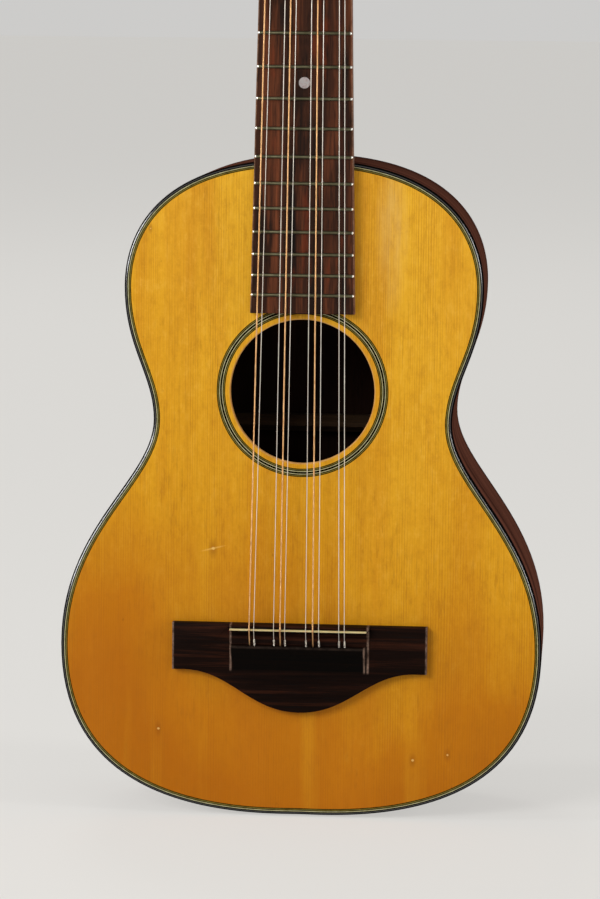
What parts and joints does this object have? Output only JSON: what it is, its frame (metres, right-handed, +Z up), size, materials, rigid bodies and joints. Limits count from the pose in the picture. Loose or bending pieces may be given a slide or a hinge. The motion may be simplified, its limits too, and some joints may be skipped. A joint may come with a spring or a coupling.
{
  "type": "tiple",
  "caption": "Small steel-strung tiple with a waisted hollow body, round soundhole, fretted neck, fixed bridge and worm-geared tuning knobs on a tilted headstock.",
  "frame": {"origin": "middle of the nut's front edge, in the plane of the soundboard's face, where a wall hanger's yoke holds the neck under the headstock", "axes": "+Z up the neck towards the headstock, -Y out of the soundboard, +X towards the treble strings"},
  "size_m": [0.2244, 0.0879, 0.6739],
  "materials": {
    "spruce": "amber gloss varnish",
    "rosewood": "satin varnish",
    "mahogany": "satin varnish",
    "inner_wood": "bare",
    "binding": "black gloss",
    "inlay": "flush inlay",
    "bone": "polished bone",
    "pearl": "polished pearl",
    "steel": "nickel plated",
    "bronze": "wound wire",
    "plastic": "ivory coloured"
  },
  "bodies": {
    "body": {"soundboard": "spruce", "rosette": "inlay", "neck": "mahogany", "dot_10": "pearl", "saddle": "bone", "nut": "bone", "front_binding": "binding", "back_binding": "binding", "end_strip": "binding", "heel_cap": "binding", "back": "rosewood", "side_bass": "rosewood", "side_treble": "rosewood", "bridge": "rosewood", "fingerboard": "rosewood", "headplate": "rosewood", "lining_front_bass": "inner_wood", "lining_front_treble": "inner_wood", "lining_back_bass": "inner_wood", "lining_back_treble": "inner_wood", "neck_block": "inner_wood", "tail_block": "inner_wood", "soundboard_brace_upper": "inner_wood", "soundboard_brace_lower": "inner_wood", "back_brace_upper": "inner_wood", "back_brace_middle": "inner_wood", "back_brace_lower": "inner_wood", "bridge_plate": "inner_wood", "tuner_plate_bass": "steel", "tuner_plate_treble": "steel", "string_1": "bronze", "string_2": "steel", "string_3": "steel", "string_4": "bronze", "string_5": "steel", "string_6": "steel", "string_7": "bronze", "string_8": "steel", "string_9": "steel", "string_10": "steel"},
    "knob_bass_1": {"knob_bass_1": "plastic"},
    "post_bass_1": {"post_bass_1": "steel"},
    "knob_bass_2": {"knob_bass_2": "plastic"},
    "post_bass_2": {"post_bass_2": "steel"},
    "knob_bass_3": {"knob_bass_3": "plastic"},
    "post_bass_3": {"post_bass_3": "steel"},
    "knob_bass_4": {"knob_bass_4": "plastic"},
    "post_bass_4": {"post_bass_4": "steel"},
    "knob_bass_5": {"knob_bass_5": "plastic"},
    "post_bass_5": {"post_bass_5": "steel"},
    "knob_treble_1": {"knob_treble_1": "plastic"},
    "post_treble_1": {"post_treble_1": "steel"},
    "knob_treble_2": {"knob_treble_2": "plastic"},
    "post_treble_2": {"post_treble_2": "steel"},
    "knob_treble_3": {"knob_treble_3": "plastic"},
    "post_treble_3": {"post_treble_3": "steel"},
    "knob_treble_4": {"knob_treble_4": "plastic"},
    "post_treble_4": {"post_treble_4": "steel"},
    "knob_treble_5": {"knob_treble_5": "plastic"},
    "post_treble_5": {"post_treble_5": "steel"}
  },
  "joints": [
    {"name": "knob_bass_1_turn", "type": "hinge", "parent": "body", "child": "knob_bass_1", "pos_m": [-0.0205, 0.0272, 0.03742], "axis": [1, 0, 0], "continuous": true},
    {"name": "post_bass_1_turn", "type": "hinge", "parent": "body", "child": "post_bass_1", "pos_m": [-0.0205, 0.02516, 0.02927], "axis": [0, -0.9703, 0.2419], "continuous": true},
    {"name": "knob_bass_2_turn", "type": "hinge", "parent": "body", "child": "knob_bass_2", "pos_m": [-0.0205, 0.033, 0.06071], "axis": [1, 0, 0], "continuous": true},
    {"name": "post_bass_2_turn", "type": "hinge", "parent": "body", "child": "post_bass_2", "pos_m": [-0.0205, 0.03097, 0.05256], "axis": [0, -0.9703, 0.2419], "continuous": true},
    {"name": "knob_bass_3_turn", "type": "hinge", "parent": "body", "child": "knob_bass_3", "pos_m": [-0.0205, 0.03881, 0.084], "axis": [1, 0, 0], "continuous": true},
    {"name": "post_bass_3_turn", "type": "hinge", "parent": "body", "child": "post_bass_3", "pos_m": [-0.0205, 0.03678, 0.07584], "axis": [0, -0.9703, 0.2419], "continuous": true},
    {"name": "knob_bass_4_turn", "type": "hinge", "parent": "body", "child": "knob_bass_4", "pos_m": [-0.0205, 0.04461, 0.10728], "axis": [1, 0, 0], "continuous": true},
    {"name": "post_bass_4_turn", "type": "hinge", "parent": "body", "child": "post_bass_4", "pos_m": [-0.0205, 0.04258, 0.09913], "axis": [0, -0.9703, 0.2419], "continuous": true},
    {"name": "knob_bass_5_turn", "type": "hinge", "parent": "body", "child": "knob_bass_5", "pos_m": [-0.0205, 0.05042, 0.13057], "axis": [1, 0, 0], "continuous": true},
    {"name": "post_bass_5_turn", "type": "hinge", "parent": "body", "child": "post_bass_5", "pos_m": [-0.0205, 0.04839, 0.12242], "axis": [0, -0.9703, 0.2419], "continuous": true},
    {"name": "knob_treble_1_turn", "type": "hinge", "parent": "body", "child": "knob_treble_1", "pos_m": [0.0205, 0.0272, 0.03742], "axis": [1, 0, 0], "continuous": true},
    {"name": "post_treble_1_turn", "type": "hinge", "parent": "body", "child": "post_treble_1", "pos_m": [0.0205, 0.02516, 0.02927], "axis": [0, -0.9703, 0.2419], "continuous": true},
    {"name": "knob_treble_2_turn", "type": "hinge", "parent": "body", "child": "knob_treble_2", "pos_m": [0.0205, 0.033, 0.06071], "axis": [1, 0, 0], "continuous": true},
    {"name": "post_treble_2_turn", "type": "hinge", "parent": "body", "child": "post_treble_2", "pos_m": [0.0205, 0.03097, 0.05256], "axis": [0, -0.9703, 0.2419], "continuous": true},
    {"name": "knob_treble_3_turn", "type": "hinge", "parent": "body", "child": "knob_treble_3", "pos_m": [0.0205, 0.03881, 0.084], "axis": [1, 0, 0], "continuous": true},
    {"name": "post_treble_3_turn", "type": "hinge", "parent": "body", "child": "post_treble_3", "pos_m": [0.0205, 0.03678, 0.07584], "axis": [0, -0.9703, 0.2419], "continuous": true},
    {"name": "knob_treble_4_turn", "type": "hinge", "parent": "body", "child": "knob_treble_4", "pos_m": [0.0205, 0.04461, 0.10728], "axis": [1, 0, 0], "continuous": true},
    {"name": "post_treble_4_turn", "type": "hinge", "parent": "body", "child": "post_treble_4", "pos_m": [0.0205, 0.04258, 0.09913], "axis": [0, -0.9703, 0.2419], "continuous": true},
    {"name": "knob_treble_5_turn", "type": "hinge", "parent": "body", "child": "knob_treble_5", "pos_m": [0.0205, 0.05042, 0.13057], "axis": [1, 0, 0], "continuous": true},
    {"name": "post_treble_5_turn", "type": "hinge", "parent": "body", "child": "post_treble_5", "pos_m": [0.0205, 0.04839, 0.12242], "axis": [0, -0.9703, 0.2419], "continuous": true}
  ],
  "couplings": [
    {"joint": "post_bass_1_turn", "follows": "knob_bass_1_turn", "ratio": 0.071429},
    {"joint": "post_bass_2_turn", "follows": "knob_bass_2_turn", "ratio": 0.071429},
    {"joint": "post_bass_3_turn", "follows": "knob_bass_3_turn", "ratio": 0.071429},
    {"joint": "post_bass_4_turn", "follows": "knob_bass_4_turn", "ratio": 0.071429},
    {"joint": "post_bass_5_turn", "follows": "knob_bass_5_turn", "ratio": 0.071429},
    {"joint": "post_treble_1_turn", "follows": "knob_treble_1_turn", "ratio": 0.071429},
    {"joint": "post_treble_2_turn", "follows": "knob_treble_2_turn", "ratio": 0.071429},
    {"joint": "post_treble_3_turn", "follows": "knob_treble_3_turn", "ratio": 0.071429},
    {"joint": "post_treble_4_turn", "follows": "knob_treble_4_turn", "ratio": 0.071429},
    {"joint": "post_treble_5_turn", "follows": "knob_treble_5_turn", "ratio": 0.071429}
  ]
}
